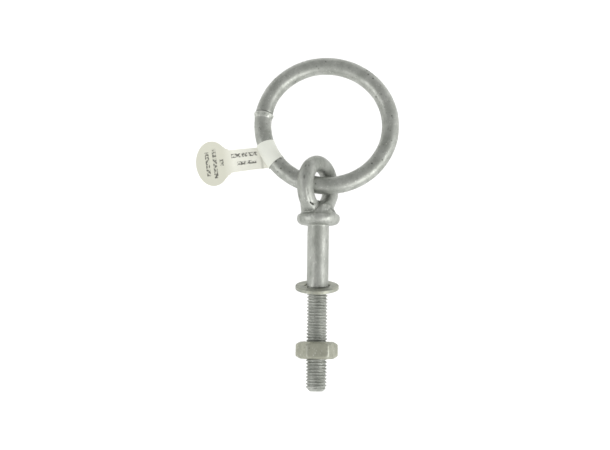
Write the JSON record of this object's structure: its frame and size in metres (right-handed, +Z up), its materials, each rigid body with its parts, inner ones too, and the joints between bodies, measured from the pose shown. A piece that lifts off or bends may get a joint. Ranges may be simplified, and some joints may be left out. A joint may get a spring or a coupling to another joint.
{
  "type": "eye bolt with lifting ring",
  "caption": "Galvanised M10 eye bolt with a round collar, a captive lifting ring, a loose washer and a hexagon nut, and a paper stock tag round the ring.",
  "frame": {"origin": "centre of the collar's bearing face, on the bolt's axis", "axes": "+X along the shank towards the threaded end, +Z up as the eye bolt lies on a bench, whose surface slopes 3 degrees to the bolt"},
  "size_m": [0.156, 0.094, 0.029],
  "materials": {
    "forging": "hot-dip galvanised, dull",
    "ring_bar": "hot-dip galvanised, dull",
    "weld": "hot-dip galvanised, rough",
    "washer": "hot-dip galvanised, dull",
    "nut": "hot-dip galvanised, satin",
    "tag": "matt card"
  },
  "bodies": {
    "bolt": {"eye_bolt": "forging"},
    "ring": {"ring": "ring_bar", "ring_weld": "weld", "label": "tag"},
    "washer": {"washer": "washer"},
    "nut": {"hex_nut": "nut"}
  },
  "joints": [
    {"name": "ring_swing", "type": "hinge", "parent": "bolt", "child": "ring", "pos_m": [-0.0184, 0, 0.0001], "axis": [0.108, 0.9942, 0], "range_deg": [-152, 176]},
    {"name": "washer_slide", "type": "slide", "parent": "bolt", "child": "washer", "axis": [1, 0, 0], "range_m": [-0.0242, 0]},
    {"name": "nut_travel", "type": "slide", "parent": "bolt", "child": "nut", "axis": [1, 0, 0], "range_m": [-0.0195, 0.0135]}
  ]
}
